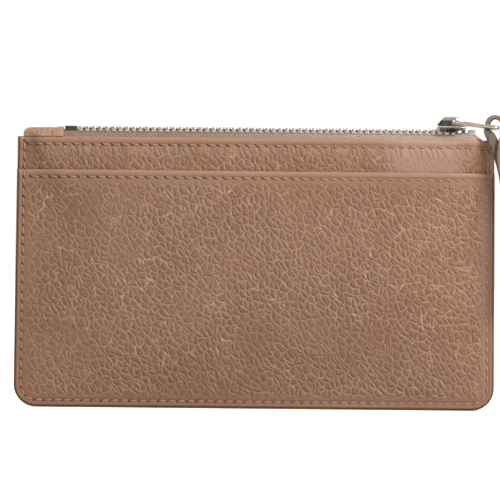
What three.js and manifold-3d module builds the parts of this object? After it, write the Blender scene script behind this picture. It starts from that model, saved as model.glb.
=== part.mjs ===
// A flat leather zip pouch: two leather walls with a slip pocket on the front, a metal zip along the top,
// and a slider with a ring and a folded leather pull. Millimetres. X runs along the zip, the pocket faces -Y,
// Z is up, and the origin is at the middle of the bottom edge.
import * as THREE from 'three';
import Module from 'manifold-3d';
import { mergeVertices } from 'three/addons/utils/BufferGeometryUtils.js';

const wasm = await Module();
wasm.setup();

// Outline, over the painted edges
const WIDTH = 151.6;
const TOP_TAPER = 1.1;
const BODY_HEIGHT = 85.3;
const POCKET_HEIGHT = 74.9;
const CORNER_RADIUS = 7.2;
const EDGE_PAINT = 0.32;

// Layers, from the middle of the pouch outwards
const LEATHER = 0.9;
const LINING = 0.25;
const STIFFENER = 0.4;
const POCKET_LINING = 0.2;
const LAYER_GAP = 0.08;
const MIDDLE_GAP = 0.04;
const LINING_TURN_IN = 0.8;

// Where the walls leave the flat seam and bow out: slowly below, quickly at the zip, which spreads the mouth
const SEAM_WIDTH = 3.2;
const SIDE_RISE = 26;
const MOUTH_RISE = 4.3;
const MOUTH_DEPTH = 30;
const BOTTOM_RISE = 26;
const BELLY = 2.26;
const RISE_STATIONS = [0.3, 0.7, 1];

// Zip
const TAPE_SEAM = 9;
const TAPE_HEIGHT = 2.35;
const TAPE_MARGIN = 4;
const TAPE_SLOPE = 2.7;
const TAPE_END_HEIGHT = 0.3;
const BEAD_OFFSET = 1.1;
const TOOTH_PITCH = 2.1;
const ROW_SHIFT = 0.25;
const TOOTH_THICKNESS = 0.75;
const TOOTH_CROSSING = 0.45;
const TOOTH_HEIGHT = 0.95;
const TEETH_BACK = 2.2;
const TEETH_ROOT = 1.35;
const TEETH_START = 19.3;
const TEETH_END = 10;
const STOP_LENGTH = 3.8;
const STOP_GAP = 0.5;
const TOP_STOP_LENGTH = 2.2;
const TOP_STOP_GAP = 3.2;
const POST_GAP = 1.05;
const RUNNING_GAP = 0.25;
const ZIP_GAP = 0.1;

// Leather tab over the closed end of the zip
const TAB_LENGTH = 12.6;
const TAB_INSET = 1.9;
const TAB_WALL = 0.6;
const TAB_GAP = 0.3;

// Slider
const SLIDER_LENGTH = 9.1;
const SLIDER_WIDTH = 7.8;
const SLIDER_PLATE = 0.75;
const SLIDER_WALL = 0.6;
const SLIDER_SKIRT = 1.3;
const SLIDER_TONGUE = 3.4;
const SLIDER_POST = 1.2;
const SLIDER_POST_WIDTH = 1.6;
const BRIDGE_WIDTH = 2.6;
const BRIDGE_HEIGHT = 3.1;
const BRIDGE_WALL = 0.85;
const BRIDGE_EYE = 4.4;
const BRIDGE_SHOULDER = 2.1;
const EYE_BEFORE_PIVOT = 0.4;
const TONGUE_RISE = 0.4;

// Ring on the slider, with its pivot at a share of the slider's length
const PIVOT_SHARE = 0.58;
const RING_REACH = 13.9;
const RING_WIDTH = 7.8;
const RING_TILT = 7.2;
const RING_RAIL_RADIUS = 0.55;
const RING_END_RADIUS = 0.7;
const RING_LIFT = 1.35;

// Folded leather pull, and threads
const PULL_WIDTH = 3.2;
const PULL_THICKNESS = 1.35;
const PULL_STEPS = 3;
const THREAD_WIDTH = 0.5;
const THREAD_HEIGHT = 0.2;
const THREAD_GAP = 0.1;
const STITCH_INSET = 2.2;
const ZIP_STITCH_DEPTH = 2.4;
const POCKET_STITCH_DEPTH = 2.3;
const TAB_STITCH_INSET = 3;
const TAB_STITCH_SPAN = [0.15, 0.95];
const PULL_TIE = [2.6, -8.15, -19];
const PULL_TIE_MARGIN = 0.6;

const FRONT = -1;
const BACK = 1;

const above = ([, top], thickness) => [top + LAYER_GAP, top + LAYER_GAP + thickness];
const LINING_LAYER = [MIDDLE_GAP, MIDDLE_GAP + LINING];
const CORE_LAYER = above(LINING_LAYER, STIFFENER);
const WALL_LAYER = above(CORE_LAYER, LEATHER);
const POCKET_LINING_LAYER = above(WALL_LAYER, POCKET_LINING);
const POCKET_LAYER = above(POCKET_LINING_LAYER, LEATHER);

const TOP_WIDTH = WIDTH - TOP_TAPER;
const CUT_INSET = EDGE_PAINT + LAYER_GAP;
const TAPE_BOTTOM = BODY_HEIGHT - TAPE_SEAM;
const BEAD_HEIGHT = BODY_HEIGHT + TAPE_HEIGHT;
const TEETH_BOTTOM = BEAD_HEIGHT + ZIP_GAP;
const TEETH_TOP = TEETH_BOTTOM + TOOTH_HEIGHT;
const TEETH_LEFT = -TOP_WIDTH / 2 + TEETH_START;
const TOOTH_COUNT = Math.floor((TOP_WIDTH - TEETH_START - TEETH_END) / TOOTH_PITCH);
const TEETH_RIGHT = TEETH_LEFT + TOOTH_COUNT * TOOTH_PITCH;
const PLATE_BOTTOM = TEETH_TOP + RUNNING_GAP;
const PLATE_TOP = PLATE_BOTTOM + SLIDER_PLATE;
const SLIDER_RIGHT = TEETH_RIGHT + POST_GAP + SLIDER_POST;
const SLIDER_LEFT = SLIDER_RIGHT - SLIDER_LENGTH;
const PIVOT = new THREE.Vector3(SLIDER_LEFT + PIVOT_SHARE * SLIDER_LENGTH, 0, PLATE_TOP + RING_LIFT);

const material = (color, roughness, metalness = 0) =>
  new THREE.MeshStandardMaterial({ color, roughness, metalness });
const FINISH = {
  leather: material(0x9a7762, 0.55),
  suede: material(0x6b5a4e, 0.9),
  lining: material(0x8d7b6c, 0.9),
  board: material(0x8a8378, 0.9),
  paint: material(0x5a4a35, 0.5),
  tape: material(0xb4958a, 0.85),
  thread: material(0xae8a70, 0.7),
  metal: material(0xc9c4ba, 0.25, 1),
};

const lerp = THREE.MathUtils.lerp;
const point = (x, y, z) => new THREE.Vector3(x, y, z);
const sorted = (values) => [...new Set(values)].sort((a, b) => a - b);
const steps = (count) => Array.from({ length: count + 1 }, (_, i) => i);

// One closed body between two sheets of points, near(u, v) and far(u, v), that share their rims.
function slab(us, vs, near, far) {
  const corners = [];
  for (const sheet of [near, far]) {
    for (const v of vs) for (const u of us) corners.push(sheet(u, v));
  }
  const across = us.length;
  const count = across * vs.length;
  const at = (side, i, j) => side * count + j * across + i;
  const faces = [];
  const quad = (a, b, c, d) => faces.push(a, b, c, a, c, d);
  for (let j = 0; j + 1 < vs.length; j++) {
    for (let i = 0; i + 1 < across; i++) {
      quad(at(0, i, j), at(0, i, j + 1), at(0, i + 1, j + 1), at(0, i + 1, j));
      faces.push(at(1, i, j), at(1, i + 1, j + 1), at(1, i, j + 1));
      faces.push(at(1, i, j), at(1, i + 1, j), at(1, i + 1, j + 1));
    }
  }
  const last = [across - 1, vs.length - 1];
  for (let i = 0; i < last[0]; i++) {
    quad(at(0, i, 0), at(0, i + 1, 0), at(1, i + 1, 0), at(1, i, 0));
    quad(at(0, i + 1, last[1]), at(0, i, last[1]), at(1, i, last[1]), at(1, i + 1, last[1]));
  }
  for (let j = 0; j < last[1]; j++) {
    quad(at(0, 0, j + 1), at(0, 0, j), at(1, 0, j), at(1, 0, j + 1));
    quad(at(0, last[0], j), at(0, last[0], j + 1), at(1, last[0], j + 1), at(1, last[0], j));
  }
  let volume = 0;
  for (let k = 0; k < faces.length; k += 3) {
    const [a, b, c] = [0, 1, 2].map((n) => corners[faces[k + n]]);
    volume += a.dot(b.clone().cross(c));
  }
  if (volume < 0) faces.reverse();
  const geometry = new THREE.BufferGeometry();
  geometry.setAttribute('position', new THREE.Float32BufferAttribute(corners.flatMap((p) => p.toArray()), 3));
  geometry.setIndex(faces);
  return geometry;
}

// Joins with manifold-3d, and the way back to a three.js geometry.
function solid(geometry) {
  const bare = geometry.clone();
  bare.deleteAttribute('normal');
  bare.deleteAttribute('uv');
  const merged = mergeVertices(bare, 1e-4);
  return new wasm.Manifold(new wasm.Mesh({
    numProp: 3,
    vertProperties: new Float32Array(merged.attributes.position.array),
    triVerts: new Uint32Array(merged.index.array),
  }));
}

function joined(geometries) {
  const mesh = geometries.map(solid).reduce((all, next) => all.add(next)).getMesh();
  const geometry = new THREE.BufferGeometry();
  geometry.setAttribute('position', new THREE.BufferAttribute(mesh.vertProperties, 3));
  geometry.setIndex(new THREE.BufferAttribute(mesh.triVerts, 1));
  return geometry;
}

function block([x0, x1], [y0, y1], [z0, z1]) {
  return new THREE.BoxGeometry(x1 - x0, y1 - y0, z1 - z0)
    .translate((x0 + x1) / 2, (y0 + y1) / 2, (z0 + z1) / 2);
}

// A shape drawn in X and Z, with an even thickness along Y about the middle.
function profile(shape, width) {
  return new THREE.ExtrudeGeometry(shape, { depth: width, bevelEnabled: false, curveSegments: 8 })
    .rotateX(Math.PI / 2).translate(0, width / 2, 0);
}

const straightHalf = (z) => lerp(WIDTH, TOP_WIDTH, z / BODY_HEIGHT) / 2;

function halfWidth(z, inset) {
  const radius = CORNER_RADIUS - inset;
  const below = Math.max(0, radius - (z - inset));
  return straightHalf(z) - inset - radius + Math.sqrt(Math.max(0, radius * radius - below * below));
}

// How far a wall stands out from its flat seam.
function bow(x, z) {
  const mouth = THREE.MathUtils.smoothstep(z, BODY_HEIGHT - MOUTH_DEPTH, BODY_HEIGHT);
  const rise = lerp(SIDE_RISE, MOUTH_RISE, mouth);
  const side = THREE.MathUtils.smoothstep(straightHalf(z) - Math.abs(x), SEAM_WIDTH, SEAM_WIDTH + rise);
  return BELLY * side * THREE.MathUtils.smoothstep(z, SEAM_WIDTH, SEAM_WIDTH + BOTTOM_RISE);
}

// Every layer is cut on the same stations, so that neighbours nest without touching.
const CUT_RADIUS = CORNER_RADIUS - CUT_INSET;
const POCKET_SEAM = POCKET_HEIGHT - POCKET_STITCH_DEPTH;
const ZIP_SEAM = BODY_HEIGHT - ZIP_STITCH_DEPTH;
const ROWS = sorted([
  ...steps(4).map((i) => CUT_INSET + CUT_RADIUS * (1 - Math.cos((i * Math.PI) / 8))),
  SEAM_WIDTH,
  ...RISE_STATIONS.map((share) => SEAM_WIDTH + BOTTOM_RISE * share),
  BODY_HEIGHT / 2,
  ...[0, 0.25, 0.5].map((share) => BODY_HEIGHT - MOUTH_DEPTH * (1 - share)),
  TAPE_BOTTOM - LAYER_GAP,
  TAPE_BOTTOM,
  POCKET_SEAM,
  POCKET_HEIGHT,
  ZIP_SEAM,
  BODY_HEIGHT - LINING_TURN_IN,
  BODY_HEIGHT,
]);
const RISE_STARTS = SEAM_WIDTH - CUT_INSET;
const RIM_STATIONS = [
  0,
  RISE_STARTS,
  ...RISE_STATIONS.map((share) => RISE_STARTS + share * MOUTH_RISE),
  ...RISE_STATIONS.map((share) => RISE_STARTS + share * SIDE_RISE),
];
const TOP_HALF = halfWidth(BODY_HEIGHT, CUT_INSET);
const TAPE_REACH = 1 - (TAPE_MARGIN - CUT_INSET) / TOP_HALF;
const TAPE_SHOULDER = TAPE_REACH - TAPE_SLOPE / TOP_HALF;
const SIDE_STATIONS = [...RIM_STATIONS.map((inset) => 1 - inset / TOP_HALF), TAPE_REACH, TAPE_SHOULDER, 0.5, 0];
const COLUMNS = sorted(SIDE_STATIONS.flatMap((u) => [u, u === 0 ? 0 : -u]));

const onLayer = (face, depth) => (u, z) => {
  const x = u * halfWidth(z, CUT_INSET);
  return point(x, face * (depth + bow(x, z)), z);
};

function sheet(face, [inner, outer], top) {
  return slab(COLUMNS, ROWS.filter((z) => z <= top), onLayer(face, inner), onLayer(face, outer));
}

// The outline from the top left, round the bottom, to the top right, moved in by inset.
function outline(inset, heights) {
  const radius = CORNER_RADIUS - inset;
  const side = heights.map((z) => [straightHalf(z) - inset, z]);
  const corner = steps(6).slice(1).map((i) => {
    const angle = (i * Math.PI) / 12;
    const z = inset + radius * (1 - Math.sin(angle));
    return [straightHalf(z) - inset - radius * (1 - Math.cos(angle)), z];
  });
  const right = [...side, [straightHalf(inset + radius) - inset, inset + radius], ...corner];
  return [...right.map(([x, z]) => [-x, z]), ...right.reverse()];
}

function edgePaint(from, to, top) {
  const rims = [0, EDGE_PAINT].map((inset) => outline(inset, [top, top / 2]));
  const along = rims.map((rim) => (i, y) => point(rim[i][0], y, rim[i][1]));
  return slab([...rims[0].keys()], [from, to], along[1], along[0]);
}

// A seam thread that follows the outline. depth(z) is how far out the leather is there.
function outlineThread(face, heights, depth) {
  const rims = [-0.5, 0.5].map((side) => outline(STITCH_INSET + side * THREAD_WIDTH, heights));
  const lift = (out) => (i, side) => {
    const [x, z] = rims[side][i];
    return point(x, face * (depth(z) + out), z);
  };
  return slab([...rims[0].keys()], [0, 1], lift(THREAD_GAP), lift(THREAD_GAP + THREAD_HEIGHT));
}

function frontSeamThread() {
  const stepTop = POCKET_HEIGHT + LEATHER + POCKET_LINING + LAYER_GAP;
  const stepFoot = POCKET_HEIGHT + LAYER_GAP;
  const stepShare = (z) => THREE.MathUtils.clamp((z - stepFoot) / (stepTop - stepFoot), 0, 1);
  return outlineThread(FRONT, [BODY_HEIGHT - LAYER_GAP, stepTop, stepFoot, POCKET_HEIGHT / 2],
    (z) => lerp(POCKET_LAYER[1], WALL_LAYER[1], stepShare(z)));
}

function backSeamThread() {
  return outlineThread(BACK, [BODY_HEIGHT - LAYER_GAP, BODY_HEIGHT / 2], () => WALL_LAYER[1]);
}

// A seam thread straight across a wall, at height z, between the two side seams.
function crossThread(face, depth, z) {
  const reach = 1 - (STITCH_INSET - CUT_INSET + 2 * THREAD_WIDTH) / halfWidth(z, CUT_INSET);
  const us = sorted([-reach, reach, ...COLUMNS.filter((u) => Math.abs(u) < reach)]);
  return slab(us, [z - THREAD_WIDTH / 2, z + THREAD_WIDTH / 2],
    onLayer(face, depth + THREAD_GAP), onLayer(face, depth + THREAD_GAP + THREAD_HEIGHT));
}

// Zip tape: flat between leather and lining, then leaning in to the bead that carries the teeth.
function tapePoint(face, side, u, z) {
  const seamed = Math.min(z, BODY_HEIGHT);
  const half = halfWidth(seamed, CUT_INSET);
  const seam = CORE_LAYER[side] + bow(u * half, seamed);
  const bead = BEAD_OFFSET + side * STIFFENER;
  const end = THREE.MathUtils.clamp(((TAPE_REACH - u) * half) / TAPE_SLOPE, TAPE_END_HEIGHT / TAPE_HEIGHT, 1);
  const rise = z - seamed;
  return point(u * half, face * lerp(seam, bead, rise / TAPE_HEIGHT), seamed + rise * end);
}

function tape(face) {
  const us = COLUMNS.filter((u) => Math.abs(u) <= TAPE_REACH);
  const zs = [...ROWS.filter((z) => z >= TAPE_BOTTOM), BODY_HEIGHT + TAPE_HEIGHT / 2, BEAD_HEIGHT];
  return slab(us, zs, (u, z) => tapePoint(face, 0, u, z), (u, z) => tapePoint(face, 1, u, z));
}

// One row of teeth as a comb on its bead. The other row is half a pitch along.
function toothRow(face) {
  const shift = (face === FRONT ? ROW_SHIFT : ROW_SHIFT + 0.5) * TOOTH_PITCH;
  const comb = new THREE.Shape();
  comb.moveTo(TEETH_LEFT, face * TEETH_BACK);
  comb.lineTo(TEETH_LEFT, face * TEETH_ROOT);
  for (let i = 0; i < TOOTH_COUNT; i++) {
    const middle = TEETH_LEFT + shift + i * TOOTH_PITCH;
    comb.lineTo(middle - TOOTH_THICKNESS / 2, face * TEETH_ROOT);
    comb.lineTo(middle - TOOTH_THICKNESS / 2, -face * TOOTH_CROSSING);
    comb.lineTo(middle + TOOTH_THICKNESS / 2, -face * TOOTH_CROSSING);
    comb.lineTo(middle + TOOTH_THICKNESS / 2, face * TEETH_ROOT);
  }
  comb.lineTo(TEETH_RIGHT, face * TEETH_ROOT);
  comb.lineTo(TEETH_RIGHT, face * TEETH_BACK);
  return new THREE.ExtrudeGeometry(comb, { depth: TOOTH_HEIGHT, bevelEnabled: false })
    .translate(0, 0, TEETH_BOTTOM);
}

function bottomStop() {
  const right = TEETH_LEFT - STOP_GAP;
  return block([right - STOP_LENGTH, right], [-TEETH_BACK, TEETH_BACK], [TEETH_BOTTOM, TEETH_TOP]);
}

function topStop(face) {
  const left = TEETH_RIGHT + TOP_STOP_GAP;
  const sides = [face * TEETH_BACK, face * BEAD_OFFSET].sort((a, b) => a - b);
  return block([left, left + TOP_STOP_LENGTH], sides, [TEETH_BOTTOM, TEETH_TOP]);
}

// An upside-down U of leather that hides the tape ends at the closed end of the zip.
const TAB_LEFT = -TOP_WIDTH / 2 + TAB_INSET;
const TAB_RIGHT = TAB_LEFT + TAB_LENGTH;

function tabSection(x, grow) {
  const foot = CORE_LAYER[1] + bow(x, BODY_HEIGHT) + TAB_GAP + grow;
  const shoulder = BEAD_OFFSET + STIFFENER + TAB_GAP + grow;
  const low = BODY_HEIGHT + LAYER_GAP;
  const high = BEAD_HEIGHT + ZIP_GAP;
  return [[-foot, low], [-shoulder, high], [0, high + ZIP_GAP + grow], [shoulder, high], [foot, low]];
}

function zipEndTab() {
  const half = halfWidth(BODY_HEIGHT, CUT_INSET);
  const inside = COLUMNS.map((u) => u * half).filter((x) => x > TAB_LEFT && x < TAB_RIGHT);
  const wrap = (grow) => (x, k) => {
    const [y, z] = tabSection(x, grow)[k];
    return point(x, y, z);
  };
  return slab(sorted([TAB_LEFT, TAB_RIGHT, ...inside]), steps(4), wrap(0), wrap(TAB_WALL));
}

function tabThread() {
  const middle = TAB_RIGHT - TAB_STITCH_INSET;
  const lift = (grow) => (x, share) => {
    const [foot, shoulder] = tabSection(x, TAB_WALL + grow);
    return point(x, lerp(foot[0], shoulder[0], share), lerp(foot[1], shoulder[1], share));
  };
  return slab([middle - THREAD_WIDTH / 2, middle + THREAD_WIDTH / 2], TAB_STITCH_SPAN,
    lift(THREAD_GAP), lift(THREAD_GAP + THREAD_HEIGHT));
}

// Slider: a top plate with skirts, a narrow tongue inside the pouch, and the post that joins them.
function sliderBody() {
  const half = SLIDER_WIDTH / 2;
  const length = [SLIDER_LEFT, SLIDER_RIGHT];
  const skirt = [PLATE_BOTTOM - SLIDER_SKIRT, PLATE_TOP];
  const tongueTop = BODY_HEIGHT + TAPE_HEIGHT * TONGUE_RISE;
  const tongueBottom = BODY_HEIGHT + ZIP_GAP;
  return joined([
    block(length, [-half, half], [PLATE_BOTTOM, PLATE_TOP]),
    block(length, [-half, SLIDER_WALL - half], skirt),
    block(length, [half - SLIDER_WALL, half], skirt),
    block(length, [-SLIDER_TONGUE / 2, SLIDER_TONGUE / 2], [tongueBottom, tongueTop]),
    block([SLIDER_RIGHT - SLIDER_POST, SLIDER_RIGHT], [-SLIDER_POST_WIDTH / 2, SLIDER_POST_WIDTH / 2],
      [(tongueBottom + tongueTop) / 2, (PLATE_BOTTOM + PLATE_TOP) / 2]),
  ]);
}

// The bridge over the slider, with the eye that holds the ring.
function sliderBridge() {
  const low = PLATE_TOP + LAYER_GAP;
  const high = PLATE_TOP + BRIDGE_HEIGHT;
  const eyeLeft = PIVOT.x - EYE_BEFORE_PIVOT * BRIDGE_EYE;
  const eye = [eyeLeft, eyeLeft + BRIDGE_EYE];
  const arch = new THREE.Shape();
  arch.moveTo(SLIDER_LEFT, low);
  arch.quadraticCurveTo(SLIDER_LEFT, high, SLIDER_LEFT + BRIDGE_SHOULDER, high);
  arch.lineTo(SLIDER_RIGHT - BRIDGE_SHOULDER, high);
  arch.quadraticCurveTo(SLIDER_RIGHT, high, SLIDER_RIGHT, low);
  arch.lineTo(eye[1], low);
  arch.lineTo(eye[1], high - BRIDGE_WALL);
  arch.lineTo(eye[0], high - BRIDGE_WALL);
  arch.lineTo(eye[0], low);
  return profile(arch, BRIDGE_WIDTH);
}

// A rod between two points, and a ball that rounds the corner where two rods meet.
function rod(from, to, radius) {
  const along = to.clone().sub(from);
  const turn = new THREE.Quaternion().setFromUnitVectors(point(0, 1, 0), along.clone().normalize());
  const middle = from.clone().add(to).multiplyScalar(0.5);
  return new THREE.CylinderGeometry(radius, radius, along.length(), 12)
    .applyQuaternion(turn).translate(middle.x, middle.y, middle.z);
}

const ball = (centre, radius) => new THREE.SphereGeometry(radius, 12, 8).translate(...centre.toArray());

function pullRing() {
  const side = RING_WIDTH / 2;
  const [a, b, c, d] = [[0, -side], [RING_REACH, -side], [RING_REACH, side], [0, side]]
    .map(([x, y]) => point(x, y, 0));
  return joined([
    rod(a, d, RING_RAIL_RADIUS),
    rod(a, b, RING_RAIL_RADIUS),
    rod(d, c, RING_RAIL_RADIUS),
    rod(b, c, RING_END_RADIUS),
    ball(a, RING_RAIL_RADIUS),
    ball(d, RING_RAIL_RADIUS),
    ball(b, RING_END_RADIUS),
    ball(c, RING_END_RADIUS),
  ]);
}

// The pull: a flat lace folded over the ring's end. Each point is X, Y, Z and the turn of its width from Y,
// measured from the middle of the ring's end bar.
const PULL_ROUTE = [
  [3.2, -6.5, -25.0, 90],
  [2.9, -6.5, -21.0, 90],
  [1.9, -6.5, -15.0, 90],
  [0.8, -6.35, -10.6, 90],
  [-0.4, -5.95, -7.2, 90],
  [-1.4, -5.1, -4.4, 86],
  [-2.3, -3.5, -2.4, 70],
  [-2.95, -1.9, -0.9, 30],
  [-3.1, -1.65, 0.6, 10],
  [-2.45, -1.65, 2.5, 14],
  [-0.7, -1.65, 3.4, 14],
  [1.1, -1.65, 2.7, 10],
  [1.9, -1.7, 0.9, 6],
  [2.2, -2.2, -0.9, 30],
  [2.3, -4.5, -2.7, 70],
  [1.7, -6.9, -4.7, 88],
  [1.25, -7.7, -7.4, 90],
  [1.25, -8.1, -10.6, 90],
  [1.95, -8.15, -15.2, 90],
  [3.0, -8.15, -22.0, 90],
  [3.5, -8.15, -29.0, 90],
  [3.8, -8.15, -38.0, 90],
  [3.9, -8.15, -47.0, 90],
  [3.9, -8.15, -56.0, 90],
];

const tilt = THREE.MathUtils.degToRad(RING_TILT);
const RING_END = PIVOT.clone().add(point(RING_REACH * Math.cos(tilt), 0, -RING_REACH * Math.sin(tilt)));

function pullStrap() {
  const curve = new THREE.CatmullRomCurve3(PULL_ROUTE.map(([x, y, z]) => point(x, y, z)));
  const spans = PULL_ROUTE.length - 1;
  const side = (offset) => (k, across) => {
    const share = k / PULL_STEPS;
    const before = Math.min(Math.floor(share), spans - 1);
    const turn = lerp(PULL_ROUTE[before][3], PULL_ROUTE[before + 1][3], share - before);
    const angle = THREE.MathUtils.degToRad(turn);
    const tangent = curve.getTangent(share / spans);
    const width = point(Math.sin(angle), Math.cos(angle), 0);
    width.addScaledVector(tangent, -width.dot(tangent)).normalize();
    const normal = tangent.cross(width);
    return curve.getPoint(share / spans)
      .addScaledVector(width, across * PULL_WIDTH / 2).addScaledVector(normal, offset);
  };
  return slab(steps(spans * PULL_STEPS), [-1, 1], side(-PULL_THICKNESS / 2), side(PULL_THICKNESS / 2));
}

// The two strands of the pull are sewn together near the short end.
function pullThread() {
  const [x, y, z] = PULL_TIE;
  const reach = PULL_WIDTH / 2 - PULL_TIE_MARGIN;
  const near = y - PULL_THICKNESS / 2 - THREAD_GAP;
  return block([x - reach, x + reach], [near - THREAD_HEIGHT, near],
    [z - THREAD_WIDTH / 2, z + THREAD_WIDTH / 2]);
}

const pouch = new THREE.Group();

function add(name, geometry, finish, parent = pouch) {
  const mesh = new THREE.Mesh(geometry, finish);
  mesh.name = name;
  parent.add(mesh);
}

for (const [name, face] of [['front', FRONT], ['back', BACK]]) {
  add(`${name}_panel`, sheet(face, WALL_LAYER, BODY_HEIGHT), FINISH.leather);
  add(`${name}_stiffener`, sheet(face, CORE_LAYER, TAPE_BOTTOM - LAYER_GAP), FINISH.board);
  add(`${name}_lining`, sheet(face, LINING_LAYER, BODY_HEIGHT - LINING_TURN_IN), FINISH.lining);
  add(`${name}_tape`, tape(face), FINISH.tape);
  add(`${name}_teeth`, toothRow(face), FINISH.metal);
  add(`${name}_top_stop`, topStop(face), FINISH.metal);
  add(`${name}_zip_stitch`, crossThread(face, WALL_LAYER[1], ZIP_SEAM), FINISH.thread);
}
add('pocket_panel', sheet(FRONT, POCKET_LAYER, POCKET_HEIGHT), FINISH.leather);
add('pocket_lining', sheet(FRONT, POCKET_LINING_LAYER, POCKET_HEIGHT), FINISH.lining);
add('pocket_edge_stitch', crossThread(FRONT, POCKET_LAYER[1], POCKET_SEAM),
  FINISH.thread);
add('body_edge_paint', edgePaint(-WALL_LAYER[1], WALL_LAYER[1], BODY_HEIGHT), FINISH.paint);
add('pocket_edge_paint', edgePaint(-POCKET_LAYER[1], -POCKET_LINING_LAYER[0], POCKET_HEIGHT), FINISH.paint);
add('body_stitch_front', frontSeamThread(), FINISH.thread);
add('body_stitch_back', backSeamThread(), FINISH.thread);
add('bottom_stop', bottomStop(), FINISH.metal);
add('zip_end_tab', zipEndTab(), FINISH.leather);
add('tab_stitch', tabThread(), FINISH.thread);

add('slider_body', sliderBody(), FINISH.metal);
add('slider_bridge', sliderBridge(), FINISH.metal);

const ring = new THREE.Group();
ring.position.copy(PIVOT);
ring.rotation.y = tilt;
pouch.add(ring);
add('puller_ring', pullRing(), FINISH.metal, ring);

const pull = new THREE.Group();
pull.position.copy(RING_END);
pouch.add(pull);
add('pull_strap', pullStrap(), FINISH.suede, pull);
add('pull_strap_stitch', pullThread(), FINISH.thread, pull);

export default pouch;
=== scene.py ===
import functools
import math

import bmesh
import bpy
import numpy as np
from mathutils import Euler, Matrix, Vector


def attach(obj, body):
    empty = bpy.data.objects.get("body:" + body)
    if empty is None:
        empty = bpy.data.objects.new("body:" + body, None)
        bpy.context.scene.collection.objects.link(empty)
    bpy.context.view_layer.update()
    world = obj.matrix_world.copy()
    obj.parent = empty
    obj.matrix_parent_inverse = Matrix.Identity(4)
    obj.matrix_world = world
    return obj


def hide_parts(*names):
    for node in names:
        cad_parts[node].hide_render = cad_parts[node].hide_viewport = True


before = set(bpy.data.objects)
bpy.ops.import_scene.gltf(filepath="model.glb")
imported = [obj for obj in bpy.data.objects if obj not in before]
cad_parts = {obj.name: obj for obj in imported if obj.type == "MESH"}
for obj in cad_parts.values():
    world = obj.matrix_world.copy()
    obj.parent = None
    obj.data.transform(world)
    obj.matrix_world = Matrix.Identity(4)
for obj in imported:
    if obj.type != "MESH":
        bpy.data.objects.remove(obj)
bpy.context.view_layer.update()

MM = 0.001

# ---- Camera -----------------------------------------------------------------------------------
# A long lens, level with the middle of the pouch and square to its front, turned a little about
# its own axis, so that the pouch lies slightly clockwise in the frame.
FRAME_WIDTH = 157.6
CAMERA_DISTANCE = 1250
CAMERA_X = -1.6
CAMERA_Z = 49.9
CAMERA_ROLL = -0.57
FRONT_PLANE = -5

camera_data = bpy.data.cameras.new("camera")
camera_data.sensor_width = 36
camera_data.lens = camera_data.sensor_width * CAMERA_DISTANCE / FRAME_WIDTH
camera_data.clip_end = 20
camera = bpy.data.objects.new("camera", camera_data)
camera.location = Vector((CAMERA_X, FRONT_PLANE - CAMERA_DISTANCE, CAMERA_Z)) * MM
camera.rotation_euler = Euler((math.pi / 2, math.radians(CAMERA_ROLL), 0))
bpy.context.scene.collection.objects.link(camera)
bpy.context.scene.camera = camera


# ---- Leather pull -----------------------------------------------------------------------------
# A flat lace of calf leather, grain outside and suede inside, folded over the end of the slider's
# ring and hanging from it. Its two strands are tied by one thread near the short end.
class Wire:
    """One socket of a node tree, so that sums on it add Math nodes."""

    def __init__(self, net, socket):
        self.net, self.socket = net, socket

    def math(self, operation, *values):
        return self.net.add("ShaderNodeMath", {"operation": operation}, values)

    def __add__(self, other):
        return self.math("ADD", self, other)

    def __sub__(self, other):
        return self.math("SUBTRACT", self, other)

    def __rsub__(self, other):
        return self.math("SUBTRACT", other, self)

    def __mul__(self, other):
        return self.math("MULTIPLY", self, other)

    def __truediv__(self, other):
        return self.math("DIVIDE", self, other)

    __radd__ = __add__
    __rmul__ = __mul__

    def wave(self):
        return self.math("SINE", self)

    def ease(self, low, high, to_low=0.0, to_high=1.0):
        """Goes smoothly between two values as this goes from low to high."""
        inputs = {"Value": self, "From Min": low, "From Max": high,
                  "To Min": to_low, "To Max": to_high}
        return self.net.add("ShaderNodeMapRange", {"interpolation_type": "SMOOTHSTEP"}, inputs)


class Net:
    """A node tree, and the one way to add a node to it."""

    def __init__(self, tree):
        self.tree = tree

    def feed(self, socket, value):
        if isinstance(value, Wire):
            self.tree.links.new(value.socket, socket)
        elif socket.type == "RGBA" and len(value) == 3:
            socket.default_value = (*value, 1)
        else:
            socket.default_value = value

    def add(self, kind, settings=None, inputs=(), out=0):
        node = self.tree.nodes.new(kind)
        for name, value in (settings or {}).items():
            setattr(node, name, value)
        for name, value in inputs.items() if isinstance(inputs, dict) else enumerate(inputs):
            self.feed(node.inputs[name], value)
        return Wire(self, node.outputs[out])

    def vector(self, operation, *values, out="Vector"):
        return self.add("ShaderNodeVectorMath", {"operation": operation}, values, out)

    def scaled(self, vector, factor):
        inputs = {"Vector": vector, "Scale": factor}
        return self.add("ShaderNodeVectorMath", {"operation": "SCALE"}, inputs)

    def noise(self, where, size, detail=2.0, out=0):
        """Cloudy noise whose lumps are about size across."""
        inputs = {"Vector": where, "Scale": 1 / size, "Detail": detail}
        return self.add("ShaderNodeTexNoise", None, inputs, out)

    def cells(self, where, size):
        """How far a point is from the nearest edge of cells that are about size across."""
        settings = {"voronoi_dimensions": "2D", "feature": "DISTANCE_TO_EDGE"}
        inputs = {"Vector": where, "Scale": 1 / size}
        return self.add("ShaderNodeTexVoronoi", settings, inputs, "Distance")

    def mix(self, share, a, b):
        node = self.tree.nodes.new("ShaderNodeMix")
        node.data_type = "RGBA"
        named = {socket.identifier: socket for socket in node.inputs}
        for name, value in (("Factor_Float", share), ("A_Color", a), ("B_Color", b)):
            self.feed(named[name], value)
        return Wire(self, {s.identifier: s for s in node.outputs}["Result_Color"])


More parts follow.
